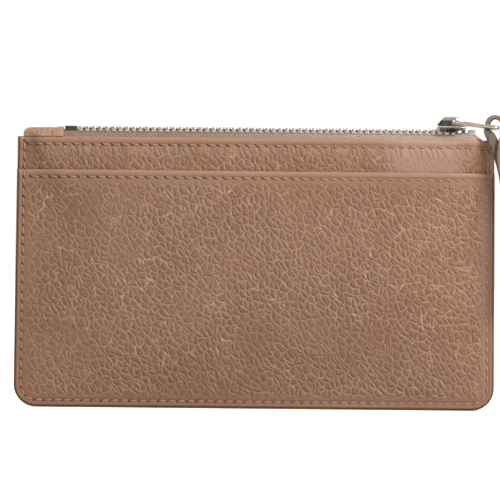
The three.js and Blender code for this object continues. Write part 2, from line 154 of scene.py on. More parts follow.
class Finish(Net):
    """A material with one Principled shader. Lengths in it are millimetres."""

    def __init__(self, name):
        self.material = bpy.data.materials.new(name)
        self.material.use_nodes = True
        super().__init__(self.material.node_tree)
        self.shader = self.tree.nodes["Principled BSDF"]

    def set(self, **values):
        for name, value in values.items():
            self.feed(self.shader.inputs[name.replace("_", " ")], value)
        return self

    def place(self):
        return self.scaled(self.add("ShaderNodeTexCoord", out="Object"), 1 / MM)

    def along(self, where, direction):
        return self.vector("DOT_PRODUCT", where, direction, out="Value")

    def plane(self, across, up):
        return self.add("ShaderNodeCombineXYZ", None, {"X": across, "Y": up})

    def attribute(self, name):
        return self.add("ShaderNodeAttribute", {"attribute_name": name}, out="Fac")

    def bump(self, height, depth):
        return self.add("ShaderNodeBump", None, {"Height": height, "Distance": depth * MM})


def srgb(red, green, blue):
    """A colour given as 0 to 255 on a screen, for a shader."""
    shares = (value / 255 for value in (red, green, blue))
    return tuple(s / 12.92 if s <= 0.04045 else ((s + 0.055) / 1.055) ** 2.4 for s in shares)


def piece(name, points, faces, finish, slot, body="pouch", crisp=40, marks=None):
    """Points in millimetres become a piece that rides on a body. marks are values per point."""
    mesh = bpy.data.meshes.new(name)
    mesh.from_pydata((np.asarray(points, float) * MM).tolist(), [], faces)
    for mark, values in (marks or {}).items():
        layer = mesh.attributes.new(mark, "FLOAT", "POINT")
        layer.data.foreach_set("value", np.asarray(values, np.float32).ravel())
    shaped = bmesh.new()
    shaped.from_mesh(mesh)
    bmesh.ops.recalc_face_normals(shaped, faces=shaped.faces)
    shaped.to_mesh(mesh)
    shaped.free()
    mesh.polygons.foreach_set("use_smooth", [True] * len(mesh.polygons))
    mesh.set_sharp_from_angle(angle=math.radians(crisp))
    mesh.materials.append(finish.material)
    made = bpy.data.objects.new(name, mesh)
    bpy.context.scene.collection.objects.link(made)
    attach(made, body)
    return made


def tube_faces(rings, around, closed=False):
    """Faces of a tube whose points are rings of the same count, one after the other."""
    faces = []
    for i in range(rings if closed else rings - 1):
        a, b = i * around, (i + 1) % rings * around
        for k in range(around):
            n = (k + 1) % around
            faces.append((a + k, a + n, b + n, b + k))
    if not closed:
        faces.append(tuple(range(around))[::-1])
        faces.append(tuple((rings - 1) * around + k for k in range(around)))
    return faces


PIVOT = np.array([62.178, 0, 91.05])
RING_TILT = math.radians(7.2)
RING_REACH = 13.9
RING_END = PIVOT + RING_REACH * np.array([math.cos(RING_TILT), 0, -math.sin(RING_TILT)])
PULL_WIDTH = 3.2
PULL_THICKNESS = 1.35
PULL_EDGE = 0.42
PULL_STEPS = 8
# X, Y and Z from the middle of the ring's end bar, and the turn of the lace's width from Y.
PULL_ROUTE = np.array([
    (3.2, -6.5, -25.0, 90), (2.9, -6.5, -21.0, 90), (1.9, -6.5, -15.0, 90), (0.8, -6.35, -10.6, 90),
    (-0.4, -5.95, -7.2, 90), (-1.4, -5.1, -4.4, 86), (-2.3, -3.5, -2.4, 70), (-2.95, -1.9, -0.9, 30),
    (-3.1, -1.65, 0.6, 10), (-2.45, -1.65, 2.5, 14), (-0.7, -1.65, 3.4, 14), (1.1, -1.65, 2.7, 10),
    (1.9, -1.7, 0.9, 6), (2.2, -2.2, -0.9, 30), (2.3, -4.5, -2.7, 70), (1.7, -6.9, -4.7, 88),
    (1.25, -7.7, -7.4, 90), (1.25, -8.1, -10.6, 90), (1.95, -8.15, -15.2, 90), (3.0, -8.15, -22.0, 90),
    (3.5, -8.15, -29.0, 90), (3.8, -8.15, -38.0, 90), (3.9, -8.15, -47.0, 90), (3.9, -8.15, -56.0, 90),
])


def smooth_route(knots, per_span):
    """A centripetal Catmull-Rom line through the knots: its points and its directions."""
    ends = (2 * knots[0] - knots[1], 2 * knots[-1] - knots[-2])
    p = np.vstack([ends[0], knots, ends[1]])
    gap = np.linalg.norm(np.diff(p, axis=0), axis=1) ** 0.5
    points, tangents = [], []
    for i in range(1, len(p) - 2):
        before, here, after = gap[i - 1], gap[i], gap[i + 1]
        step = p[i + 1] - p[i]
        start = (p[i] - p[i - 1]) / before - (p[i + 1] - p[i - 1]) / (before + here) + step / here
        finish = step / here - (p[i + 2] - p[i]) / (here + after) + (p[i + 2] - p[i + 1]) / after
        start, finish = start * here, finish * here
        last = i == len(p) - 3
        for t in np.arange(per_span + last) / per_span:
            square, cube = 3 * step - 2 * start - finish, start + finish - 2 * step
            points.append(p[i] + start * t + square * t**2 + cube * t**3)
            tangents.append(start + 2 * square * t + 3 * cube * t**2)
    tangents = np.array(tangents)
    return np.array(points), tangents / np.linalg.norm(tangents, axis=1)[:, None]


def lace_section(width, thickness, edge):
    """A flat section with round edges: across, out, and 1 on the grain side to -1 on the suede."""
    spots = []

    def round_edge(side, up, degrees):
        for angle in np.radians(degrees):
            x = width / 2 - edge + edge * math.sin(angle)
            y = thickness / 2 - edge + edge * math.cos(angle)
            spots.append((side * x, up * y, up * math.cos(angle)))

    for side in (1, -1):
        round_edge(side, side, (0, 30, 60, 90))
        spots.append((side * width / 2, 0, 0))
        round_edge(side, -side, (90, 60, 30, 0))
        spots += [(side * share * width, -side * thickness / 2, -side) for share in (0.2, 0)]
    return np.array(spots)


centre, tangent = smooth_route(PULL_ROUTE[:, :3] + RING_END, PULL_STEPS)
passed = np.arange(len(centre)) / PULL_STEPS
turn = np.radians(np.interp(passed, np.arange(len(PULL_ROUTE)), PULL_ROUTE[:, 3]))
across = np.stack([np.sin(turn), np.cos(turn), np.zeros(len(turn))], axis=1)
across -= tangent * (across * tangent).sum(1)[:, None]
across /= np.linalg.norm(across, axis=1)[:, None]
outward = np.cross(tangent, across)
section = lace_section(PULL_WIDTH, PULL_THICKNESS, PULL_EDGE)
pull_length = np.linalg.norm(np.diff(centre, axis=0), axis=1).sum()
pull_rings = centre[:, None] + across[:, None] * section[:, :1] + outward[:, None] * section[:, 1:2]
pull_run = np.repeat(np.linspace(0, pull_length, len(centre)), len(section))
pull_across = np.tile(section[:, 0], len(centre))

lace = Finish("pull_leather")
where = lace.place()
strip = lace.plane(lace.attribute("run"), lace.attribute("across"))
pores = lace.cells(strip, 0.75).ease(0.02, 0.3)
fluff = lace.noise(strip, 0.25, 4)
streaks = lace.noise(lace.plane(lace.attribute("run") / 5, lace.attribute("across")), 0.35, 3)
tone = lace.noise(where, 4)
grain_colour = lace.mix(pores, srgb(178, 139, 119), srgb(146, 110, 90))
grain_colour = lace.mix(tone.ease(0.35, 0.7, 0, 0.35), grain_colour, srgb(120, 88, 70))
suede_colour = lace.mix(streaks.ease(0.35, 0.65), srgb(84, 74, 62), srgb(136, 127, 112))
side_shown = lace.attribute("grain_side").ease(-0.35, 0.15)
lace.set(
    Base_Color=lace.mix(side_shown, suede_colour, grain_colour),
    Roughness=side_shown.ease(0, 1, 0.95, 0.48),
    Normal=lace.bump(pores * side_shown + fluff * (1 - side_shown), 0.1),
    Specular_IOR_Level=0.45,
)
pull = piece(
    "pull_lace", pull_rings.reshape(-1, 3), tube_faces(len(centre), len(section)), lace, "pull_leather",
    body="strap", crisp=60,
    marks={"grain_side": np.tile(section[:, 2], len(centre)), "run": pull_run, "across": pull_across},
)
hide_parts("pull_strap")

# The tie is a short bar of the same beige thread as the seams, over the front strand.
THREAD_RADIUS = 0.29
TIE_GAP = 0.05
TIE_PLACE = RING_END + (2.6, -8.15 - PULL_THICKNESS / 2 - TIE_GAP, -19)
TIE_REACH = np.array((0.95, 0, 0.12))
TIE_RISE = 0.16

thread = Finish("seam_thread")
twist = thread.noise(thread.place(), 0.35, 2)
thread.set(
    Base_Color=thread.mix(twist.ease(0.3, 0.7), srgb(150, 112, 88), srgb(196, 160, 136)),
    Roughness=0.62,
    Normal=thread.bump(twist, 0.05),
)


def thread_bar(name, start, end, rise, radius, finish, body):
    """One stitch of thread from start to end, arched by rise towards the front."""
    share = np.linspace(0, 1, 9)
    line = np.outer(1 - share, start) + np.outer(share, end)
    line[:, 1] -= rise * np.sin(np.pi * share)
    heading = (np.array(end) - start) / np.linalg.norm(np.array(end) - start)
    side = np.cross(heading, (0, 1, 0))
    angles = np.arange(8) * math.pi / 4
    ring = np.outer(np.cos(angles), side) + np.outer(np.sin(angles), (0, 1, 0))
    points = (line[:, None] + radius * ring[None]).reshape(-1, 3)
    return piece(name, points, tube_faces(9, 8), finish, "thread", body)


tie = thread_bar("pull_tie", TIE_PLACE - TIE_REACH, TIE_PLACE + TIE_REACH, TIE_RISE, THREAD_RADIUS,
                 thread, "strap")
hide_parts("pull_strap_stitch")
centre[0] * MM
centre * MM


# ---- Studio -----------------------------------------------------------------------------------
# A white floor and a white surround that darkens behind the camera, as a real studio does, with
# one broad soft lamp high on the right in front and a weaker one behind.
scene = bpy.context.scene
scene.view_settings.view_transform = "Standard"
scene.view_settings.look = "None"
SURROUND = 0.34
OVERHEAD = 0.5
BACKDROP = 0.95
DARK_ROOM = 0.06
KEY_WATTS = 3.9
BACK_WATTS = 7
FLOOR_REACH = 4000
LAMP_TARGET = Vector((0, 0, 0.05))


def grey(level):
    return (level, level, level)


scene.world = bpy.data.worlds.new("studio")
scene.world.use_nodes = True
studio = Net(scene.world.node_tree)
sight = studio.add("ShaderNodeTexCoord", out="Generated")
backward = studio.vector("DOT_PRODUCT", sight, (0, -1, 0), out="Value")
upward = studio.vector("DOT_PRODUCT", sight, (0, 0, 1), out="Value")
dark_side = backward.ease(0.82, 0.95) * upward.ease(0.0, 0.3, 1, 0.2)
behind = backward.ease(-0.35, 0.1, 1, 0)
overhead = upward.ease(0.1, 0.45)
surround = studio.mix(overhead, grey(SURROUND), grey(OVERHEAD))
surround = studio.mix(behind, surround, grey(BACKDROP))
surround = studio.mix(dark_side, surround, grey(DARK_ROOM))
lit = studio.add("ShaderNodeBackground", None, {"Color": surround}, "Background")
seen = studio.add("ShaderNodeBackground", None, {"Color": (1, 1, 1), "Strength": 1.05}, "Background")
direct = studio.add("ShaderNodeLightPath", out="Is Camera Ray")
shown = studio.add("ShaderNodeMixShader", None, (direct, lit, seen))
studio.feed(studio.tree.nodes["World Output"].inputs["Surface"], shown)


def softbox(name, place, size, watts, tint):
    lamp = bpy.data.lights.new(name, "AREA")
    lamp.shape = "RECTANGLE"
    lamp.size, lamp.size_y = size
    lamp.energy = watts
    lamp.color = tint
    holder = bpy.data.objects.new(name, lamp)
    holder.location = place
    holder.rotation_euler = (LAMP_TARGET - holder.location).to_track_quat("-Z", "Y").to_euler()
    scene.collection.objects.link(holder)


softbox("key_lamp", (0.45, -0.42, 0.43), (0.32, 0.32), KEY_WATTS, (1, 0.99, 0.97))
softbox("back_lamp", (-0.55, 0.9, 0.8), (0.8, 0.8), BACK_WATTS, (1, 1, 1))

floor_finish = Finish("white_floor")
floor_finish.set(Base_Color=grey(0.62), Roughness=0.9)
paper = floor_finish.add("ShaderNodeEmission", None, {"Color": (1, 1, 1), "Strength": 0.9})
plain = Wire(floor_finish, floor_finish.shader.outputs[0])
washed = floor_finish.add("ShaderNodeAddShader", None, (paper, plain))
from_camera = floor_finish.add("ShaderNodeLightPath", out="Is Camera Ray")
floor_shown = floor_finish.add("ShaderNodeMixShader", None, (from_camera, plain, washed))
floor_finish.feed(floor_finish.tree.nodes["Material Output"].inputs["Surface"], floor_shown)
corners = np.array([(-1, -1), (1, -1), (1, 1), (-1, 1)]) * FLOOR_REACH * MM
floor_mesh = bpy.data.meshes.new("floor")
floor_mesh.from_pydata([(x, y, 0) for x, y in corners.tolist()], [], [(0, 1, 2, 3)])
floor_mesh.materials.append(floor_finish.material)
floor = bpy.data.objects.new("floor", floor_mesh)
scene.collection.objects.link(floor)


# ---- Leather walls ----------------------------------------------------------------------------
# Two walls and a pocket of soft pebbled calf leather, 0.9 mm thick, with turned and creased top
# edges. They are sewn flat along their sides and bottom and bow out a little between.
WIDTH = 151.6
TOP_WIDTH = 150.5
BODY_HEIGHT = 85.3
POCKET_HEIGHT = 74.9
CORNER_RADIUS = 7.2
CUT_INSET = 0.4
SEAM_WIDTH = 3.2
SIDE_RISE = 26
MOUTH_RISE = 4.3
MOUTH_DEPTH = 30
BOTTOM_RISE = 26
BELLY = 2.26
WALL = (0.85, 1.75)
POCKET_LINING = (1.83, 2.03)
POCKET = (2.11, 3.01)
STITCH_INSET = 2.2
ZIP_STITCH_DEPTH = 2.4
POCKET_STITCH_DEPTH = 2.3
CREASE_DEPTH = 0.3
CREASE_WIDTH = 0.62
EDGE_ROUNDING = 0.75
FRONT, BACK = -1, 1


def smoothstep(value, low, high):
    share = np.clip((value - low) / (high - low), 0, 1)
    return share * share * (3 - 2 * share)


def straight_half(z):
    return (WIDTH + (TOP_WIDTH - WIDTH) * z / BODY_HEIGHT) / 2


def half_width(z, inset=CUT_INSET):
    radius = CORNER_RADIUS - inset
    below = np.maximum(0, radius - (z - inset))
    return straight_half(z) - inset - radius + np.sqrt(np.maximum(0, radius**2 - below**2))


def bow(x, z):
    """How far a wall stands out from its flat seam: more quickly near the zip."""
    mouth = smoothstep(z, BODY_HEIGHT - MOUTH_DEPTH, BODY_HEIGHT)
    rise = SIDE_RISE + (MOUTH_RISE - SIDE_RISE) * mouth
    side = smoothstep(straight_half(z) - np.abs(x), SEAM_WIDTH, SEAM_WIDTH + rise)
    return BELLY * side * smoothstep(z, SEAM_WIDTH, SEAM_WIDTH + BOTTOM_RISE)


def from_rim(x, z):
    """How far a point of a wall is from the wall's side and bottom edges."""
    side, under = straight_half(z) - np.abs(x), z
    corner = CORNER_RADIUS - np.hypot(CORNER_RADIUS - side, CORNER_RADIUS - under)
    return np.where((side < CORNER_RADIUS) & (under < CORNER_RADIUS), corner, np.minimum(side, under))


RIM_STEPS = np.array([0, 0.08, 0.2, 0.35, 0.55, 0.85, 1.2, 1.55, 1.85, 2.2, 2.55, 2.9, 3.5, 4.3])


def wall_stations(top, crease, spacing):
    """Columns as shares of the half width and rows as heights, close together at seams."""
    half = half_width(BODY_HEIGHT)
    inner = half - RIM_STEPS[-1]
    middle = np.linspace(-inner, inner, int(2 * inner / spacing) + 1)[1:-1]
    columns = np.concatenate([-half + RIM_STEPS, middle, (half - RIM_STEPS)[::-1]]) / half
    radius = CORNER_RADIUS - CUT_INSET
    angles = np.linspace(0, math.pi / 2, 13)
    low = np.concatenate([CUT_INSET + radius * (1 - np.cos(angles)), CUT_INSET + RIM_STEPS])
    high = top - np.concatenate([RIM_STEPS[:6], crease + np.linspace(-1.2, 1.2, 9)])
    fill = np.arange(low.max() + spacing, high.min(), spacing)
    rows = np.unique(np.round(np.concatenate([low, fill, high]), 3))
    return columns, rows[(rows >= CUT_INSET) & (rows <= top)]


def shell_faces(wide, high):
    """Faces of a closed shell from an inner and an outer grid of points, one after the other."""
    count = wide * high
    i, j = np.meshgrid(np.arange(wide - 1), np.arange(high - 1))
    a = (j * wide + i).ravel()
    grid = np.stack([a, a + 1, a + 1 + wide, a + wide], axis=1)
    bottom, upper = np.arange(wide), np.arange(wide) + (high - 1) * wide
    left, right = np.arange(high) * wide, np.arange(high) * wide + wide - 1
    faces = [grid[:, ::-1], grid + count]
    for line, reverse in ((bottom, False), (right, False), (upper, True), (left, True)):
        strip = np.stack([line[:-1], line[1:], line[1:] + count, line[:-1] + count], axis=1)
        faces.append(strip[:, ::-1] if reverse else strip)
    return np.concatenate(faces).tolist()


def wall_mesh(face, layer, top, crease=None, spacing=1.2, edge=0.25):
    """A closed shell between two depths: points, faces and how far each point is from a seam."""
    columns, rows = wall_stations(top, crease or ZIP_STITCH_DEPTH, spacing)
    u, z = np.meshgrid(columns, rows)
    x = u * half_width(z)
    rim = from_rim(x, z)
    to_top = top - z
    inner, outer = layer
    near = inner + bow(x, z)
    far = outer + bow(x, z)
    seam = np.minimum(rim, to_top if crease else rim)
    if crease:
        dent = np.maximum(
            np.exp(-(((rim - STITCH_INSET) / CREASE_WIDTH) ** 2)),
            np.exp(-(((to_top - crease) / CREASE_WIDTH) ** 2)) * smoothstep(rim, 1.6, 2.2),
        )
        far = far - CREASE_DEPTH * dent
    # The outer face rounds over its edges.
    to_edge = np.minimum(rim - CUT_INSET, to_top)
    share = 1 - np.clip(to_edge / edge, 0, 1)
    far = far - edge * (1 - np.sqrt(1 - share**2)) * 0.9
    points = np.concatenate([
        np.stack([x, face * near, z], axis=-1).reshape(-1, 3),
        np.stack([x, face * far, z], axis=-1).reshape(-1, 3),
    ])
    marks = {"from_seam": np.tile(seam.ravel(), 2), "from_top": np.tile(to_top.ravel(), 2)}
    return points, shell_faces(len(columns), len(rows)), marks


GRAIN_LEAN = math.radians(58)
# Where the front's top strip is smoother and carries a painted pink sheen.
SHEEN_PATCH_SPAN = (44, 64)
PAINTED_SHEEN = srgb(205, 168, 150)
# Painted highlight colour for the leather just below the top edges.
PAINTED_EDGE_HIGHLIGHT = srgb(206, 166, 140)
CELL = srgb(146, 105, 79)
CELL_DARK = srgb(131, 91, 66)
# Pale colour for a random paler tone, and for the painted highlights on the grain's lines.
PALE_TONE_AND_HIGHLIGHT = srgb(200, 158, 130)
BURNISH = srgb(154, 113, 87)


def leather_finish(
    name, cell, stretch, smooth_to, grain_full, top_creases=0.0, smooth_sheen=False, bleach=0.0,
):
    """Pebbled leather: dark pebbles between thin pale lines, which are painted highlights, smooth where
    it was sewn. The sheen flag adds a smooth patch with a painted pink sheen on the front, above the
    pocket."""
    hide = Finish(name)
    place = hide.place()
    drift = hide.vector("SUBTRACT", hide.noise(place, 3.2, 2, out="Color"), (0.5, 0.5, 0.5))
    warped = hide.vector("ADD", place, hide.scaled(drift, 2.2))
    down = hide.along(warped, (math.cos(GRAIN_LEAN), 0, -math.sin(GRAIN_LEAN)))
    over = hide.along(warped, (math.sin(GRAIN_LEAN), 0, math.cos(GRAIN_LEAN)))
    edge = hide.cells(hide.plane(down / stretch, over), cell)
    fold = hide.cells(hide.plane(down / (stretch * 2.1), over + 31), cell * 2.3)
    tiny = hide.cells(hide.plane(down / 1.2, over + 7), cell * 0.42)
    grain = hide.attribute("from_seam").ease(smooth_to, grain_full)
    strength = grain * hide.noise(place, 16, 1).ease(0.3, 0.62, 0.6, 1)
    # A smooth patch at the right end of the front's top strip, with less grain and a painted sheen.
    if smooth_sheen:
        left, right = SHEEN_PATCH_SPAN
        across = hide.along(place, (1, 0, 0))
        above = hide.along(place, (0, 0, 1)).ease(POCKET_HEIGHT - 2, POCKET_HEIGHT)
        smooth_sheen_patch = across.ease(left - 8, left + 4) * across.ease(right - 3, right + 4, 1, 0) * above
        smooth_sheen_patch = smooth_sheen_patch * hide.along(place, (0, -1, 0)).ease(0, 1)
        strength = strength * (1 - smooth_sheen_patch * 0.6)
    broken = hide.noise(place, 1.6, 2).ease(0.38, 0.62, 0.3, 1)
    pale = edge.ease(0.0, 0.11, 1, 0) * broken
    crease = fold.ease(0.0, 0.045, 1, 0) * hide.noise(place, 6, 1).ease(0.45, 0.62)
    speck = tiny.ease(0.0, 0.12, 1, 0) * 0.28
    lines = pale.math("MAXIMUM", pale.math("MAXIMUM", pale, crease), speck)
    mottle = hide.noise(place, 1.3, 3).ease(0.35, 0.68)
    broad = hide.noise(place, 22, 2).ease(0.35, 0.65)
    base = hide.mix(mottle * 0.75, CELL, CELL_DARK)
    base = hide.mix(1 - grain, base, BURNISH)
    base = hide.mix(broad * 0.1 + bleach, base, PALE_TONE_AND_HIGHLIGHT)
    # Painted highlights: the grain's thin lines are coloured pale, as where the lamp catches the crease
    # walls.
    colour = hide.mix(lines * strength * 0.9, base, PALE_TONE_AND_HIGHLIGHT)
    # Painted sheen: the smooth patch is coloured pale pink.
    if smooth_sheen:
        colour = hide.mix(smooth_sheen_patch * 0.4, colour, PAINTED_SHEEN)
    from_top = hide.attribute("from_top")
    # Painted highlight below the top edges, as where the rounded edge faces the lamp. The tab has no
    # from_top mark, so it gets this painted highlight all over.
    colour = hide.mix(from_top.ease(0.3, 2.1, 1, 0) * 0.4, colour, PAINTED_EDGE_HIGHLIGHT)
    pebble = edge.ease(0.0, 0.3) + fold.ease(0, 0.1) * 0.35 + tiny.ease(0, 0.2) * 0.12
    height = pebble * strength
    if top_creases:
        steep = hide.plane(hide.along(warped, (1, 0, 0.35)), hide.along(warped, (0, 0, 0.12)))
        hang = hide.cells(steep, 1.9)
        below = from_top.ease(2.6, 7.5, 1, 0) * from_top.ease(2.2, 3.2)
        height = height + hang.ease(0, 0.3) * below * top_creases
        # The hanging creases below the top edge get the same painted highlight lines.
        colour = hide.mix(hang.ease(0, 0.16, 1, 0) * below * 0.45 * top_creases, colour, PALE_TONE_AND_HIGHLIGHT)
    hide.set(
        Base_Color=colour,
        Roughness=(lines * strength).ease(0, 1, 0.56, 0.42),
        Normal=hide.bump(height + hide.noise(place, 0.3, 2) * 0.08, 0.25),
        Specular_IOR_Level=0.5,
    )
    return hide


wall_leather = leather_finish("wall_leather", 1.8, 1.4, 2.5, 6.5, top_creases=0.8, smooth_sheen=True)
pocket_leather = leather_finish("pocket_leather", 1.85, 1.4, 2.5, 5.5)

WALL_CUT = (WIDTH * MM, BODY_HEIGHT * MM)
POCKET_CUT = (WIDTH * MM, POCKET_HEIGHT * MM)


def wall(name, node, face, layer, top, crease, finish, cut, rests_on, **shape):
    """A layer of the pouch as a piece that stands for a CAD node, whose part it hides."""
    points, faces, marks = wall_mesh(face, layer, top, crease, **shape)
    made = piece(name, points, faces, finish, "leather", marks=marks)
    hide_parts(node)
    return made


wall("front_wall", "front_panel", FRONT, WALL, BODY_HEIGHT, ZIP_STITCH_DEPTH,
     wall_leather, WALL_CUT, ["front_stiffener"], edge=EDGE_ROUNDING)
wall("back_wall", "back_panel", BACK, WALL, BODY_HEIGHT, ZIP_STITCH_DEPTH,
     wall_leather, WALL_CUT, ["back_stiffener"], edge=EDGE_ROUNDING)
wall("slip_pocket", "pocket_panel", FRONT, POCKET, POCKET_HEIGHT, POCKET_STITCH_DEPTH,
     pocket_leather, POCKET_CUT, ["front_panel"], edge=EDGE_ROUNDING)


# ---- Seams ------------------------------------------------------------------------------------
# Lockstitch in beige thread, 3 mm a stitch: round the sides and bottom through every layer, along
# the zip, and along the top of the pocket. Dark pieces in the needle's slanted cuts between stitches are
# painted shade.
STITCH_PITCH = 3.0
STITCH_LENGTH = 2.35
STITCH_RISE = 0.2
SLIT_LENGTH = 1.3
SLIT_RADIUS = 0.2
SLIT_RISE = 0.14
THREAD_SLANT = -9
SLIT_SLANT = -38


def tree_with_inputs(name, inputs):
    """A geometry tree with named inputs, as a Net, and its input node's sockets by name."""
    group = bpy.data.node_groups.new(name, "GeometryNodeTree")
    group.interface.new_socket("Geometry", in_out="INPUT", socket_type="NodeSocketGeometry")
    group.interface.new_socket("Geometry", in_out="OUTPUT", socket_type="NodeSocketGeometry")
    for title, kind in inputs.items():
        group.interface.new_socket(title, in_out="INPUT", socket_type=f"NodeSocket{kind}")
    net = Net(group)
    entry = group.nodes.new("NodeGroupInput")
    return net, {socket.name: Wire(net, socket) for socket in entry.outputs if socket.name}


def finish_tree(net, geometry, material):
    real = net.add("GeometryNodeRealizeInstances", None, {"Geometry": geometry})
    soft = net.add("GeometryNodeSetShadeSmooth", None, {"Geometry": real})
    dressed = net.add("GeometryNodeSetMaterial", None, {"Geometry": soft, "Material": material})
    net.feed(net.tree.nodes.new("NodeGroupOutput").inputs[0], dressed)
    return net.tree


def grown(name, tree, points, edges, values, body="pouch"):
    """Runs a tree on a line of points in millimetres and keeps the result as a plain mesh."""
    seed_mesh = bpy.data.meshes.new(name + "_path")
    seed_mesh.from_pydata((np.asarray(points, float) * MM).tolist(), edges, [])
    seed = bpy.data.objects.new(name + "_path", seed_mesh)
    bpy.context.scene.collection.objects.link(seed)
    modifier = seed.modifiers.new(name, "NODES")
    modifier.node_group = tree
    for socket in tree.interface.items_tree:
        if socket.in_out == "INPUT" and socket.name in values:
            modifier[socket.identifier] = values[socket.name]
    evaluated = seed.evaluated_get(bpy.context.evaluated_depsgraph_get())
    mesh = bpy.data.meshes.new_from_object(evaluated)
    mesh.name = name
    bpy.data.objects.remove(seed)
    made = bpy.data.objects.new(name, mesh)
    bpy.context.scene.collection.objects.link(made)
    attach(made, body)
    return made


stitching, given = tree_with_inputs("stitch_line", {
    "Pitch": "Float", "Start": "Float", "Length": "Float", "Radius": "Float", "Rise": "Float",
    "Slant": "Float", "Outward": "Vector", "Finish": "Material",
})
line = stitching.add("GeometryNodeMeshToCurve", None, {"Mesh": given["Geometry"]})
PAST_END = 10.0
line = stitching.add(
    "GeometryNodeTrimCurve", {"mode": "LENGTH"}, {0: line, 4: given["Start"], 5: PAST_END},
)
dots = stitching.add(
    "GeometryNodeCurveToPoints", {"mode": "LENGTH"}, {"Curve": line, "Length": given["Pitch"]},
)
heading = Wire(stitching, dots.socket.node.outputs["Tangent"])
aligned = stitching.add("FunctionNodeAlignRotationToVector", {"axis": "X"}, {"Vector": heading})
upright = stitching.add(
    "FunctionNodeAlignRotationToVector", {"axis": "Z", "pivot_axis": "X"},
    {"Rotation": aligned, "Vector": given["Outward"]},
)
spin = stitching.add("ShaderNodeCombineXYZ", None, {"Z": given["Slant"]})
spin = stitching.add("FunctionNodeEulerToRotation", None, {"Euler": spin})
turned = stitching.add("FunctionNodeRotateRotation", {"rotation_space": "LOCAL"}, (upright, spin))
half = given["Length"] * 0.5
sunk = given["Radius"] * -0.9
bow_line = stitching.add("GeometryNodeCurveQuadraticBezier", None, {
    "Resolution": 6,
    "Start": stitching.add("ShaderNodeCombineXYZ", None, {"X": half * -1, "Z": sunk}),
    "Middle": stitching.add("ShaderNodeCombineXYZ", None, {"Z": given["Rise"] * 2}),
    "End": stitching.add("ShaderNodeCombineXYZ", None, {"X": half, "Z": sunk}),
})
ply = stitching.add(
    "GeometryNodeCurvePrimitiveCircle", None, {"Resolution": 6, "Radius": given["Radius"]},
)
one = stitching.add("GeometryNodeCurveToMesh", None, {0: bow_line, 1: ply, "Fill Caps": True})
placed = stitching.add(
    "GeometryNodeInstanceOnPoints", None, {"Points": dots, "Instance": one, "Rotation": turned},
)
stitch_tree = finish_tree(stitching, placed, given["Finish"])

# Painted shade: the dark slit pieces stand in for the shadow in the needle holes.
slit_shade_finish = Finish("needle_slit")
slit_shade = slit_shade_finish.noise(slit_shade_finish.place(), 0.4).ease(0.3, 0.7)
slit_shade_colour = slit_shade_finish.mix(slit_shade, srgb(66, 42, 30), srgb(96, 66, 50))
slit_shade_finish.set(Base_Color=slit_shade_colour, Roughness=0.8)


def outline_path(inset, top, depth, face):
    """From the top left, round the bottom, to the top right, moved in from the edge by inset."""
    radius = CORNER_RADIUS - inset
    angles = np.linspace(0, math.pi / 2, 13)
    corner_z = inset + radius * (1 - np.sin(angles))
    corner_x = straight_half(corner_z) - inset - radius * (1 - np.cos(angles))
    side_z = np.arange(top, CORNER_RADIUS, -0.8)
    x = np.concatenate([straight_half(side_z) - inset, corner_x])
    z = np.concatenate([side_z, corner_z])
    flat = np.linspace(x[-1], -x[-1], 150)[1:-1]
    xs = np.concatenate([-x, -flat, x[::-1]])
    zs = np.concatenate([z, np.full(len(flat), inset), z[::-1]])
    return np.stack([xs, face * depth(zs), zs], axis=1)


def cross_path(z, depth, face):
    reach = half_width(z) + CUT_INSET - STITCH_INSET - 0.6
    x = np.linspace(-reach, reach, 200)
    return np.stack([x, face * (depth + bow(x, np.full_like(x, z))), np.full_like(x, z)], axis=1)


def seam(name, path, face, nodes, start=0.4, flip=1):
    edges = [(i, i + 1) for i in range(len(path) - 1)]
    shared = {"Pitch": STITCH_PITCH * MM, "Outward": (0, face, 0)}
    made = grown(name, stitch_tree, path, edges, {
        **shared, "Start": (start + STITCH_PITCH / 2) * MM, "Length": STITCH_LENGTH * MM,
        "Radius": THREAD_RADIUS * MM, "Rise": STITCH_RISE * MM,
        "Slant": flip * math.radians(THREAD_SLANT), "Finish": thread.material,
    })
    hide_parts(*nodes)
    # Dark slit pieces between the stitches, as painted shade in the needle holes.
    grown(name + "_slits", stitch_tree, path, edges, {
        **shared, "Start": start * MM, "Length": SLIT_LENGTH * MM, "Radius": SLIT_RADIUS * MM,
        "Rise": SLIT_RISE * MM, "Slant": flip * math.radians(SLIT_SLANT), "Finish": slit_shade_finish.material,
    })


STEP_FOOT = POCKET_HEIGHT + 0.08
STEP_TOP = POCKET_HEIGHT + 1.18
LIE = CREASE_DEPTH - 0.1
SEAM_TOP = BODY_HEIGHT - 1


def front_depth(z):
    return np.interp(z, (STEP_FOOT, STEP_TOP), (POCKET[1], WALL[1])) - LIE


def back_depth(z):
    return np.full_like(z, WALL[1] - LIE)


front_outline = outline_path(STITCH_INSET, SEAM_TOP, front_depth, FRONT)
back_outline = outline_path(STITCH_INSET, SEAM_TOP, back_depth, BACK)
seam("front_side_seam", front_outline, FRONT, ["body_stitch_front"], flip=-1)
seam("back_side_seam", back_outline, BACK, ["body_stitch_back"], flip=-1)
ZIP_SEAM_HEIGHT = BODY_HEIGHT - ZIP_STITCH_DEPTH
front_zip_line = cross_path(ZIP_SEAM_HEIGHT, WALL[1] - LIE, FRONT)
seam("front_zip_seam", front_zip_line, FRONT, ["front_zip_stitch"])
seam("back_zip_seam", cross_path(ZIP_SEAM_HEIGHT, WALL[1] - LIE, BACK), BACK, ["back_zip_stitch"])
POCKET_SEAM_HEIGHT = POCKET_HEIGHT - POCKET_STITCH_DEPTH
pocket_line = cross_path(POCKET_SEAM_HEIGHT, POCKET[1] - LIE, FRONT)
seam("pocket_top_seam", pocket_line, FRONT, ["pocket_edge_stitch"], start=1.6)


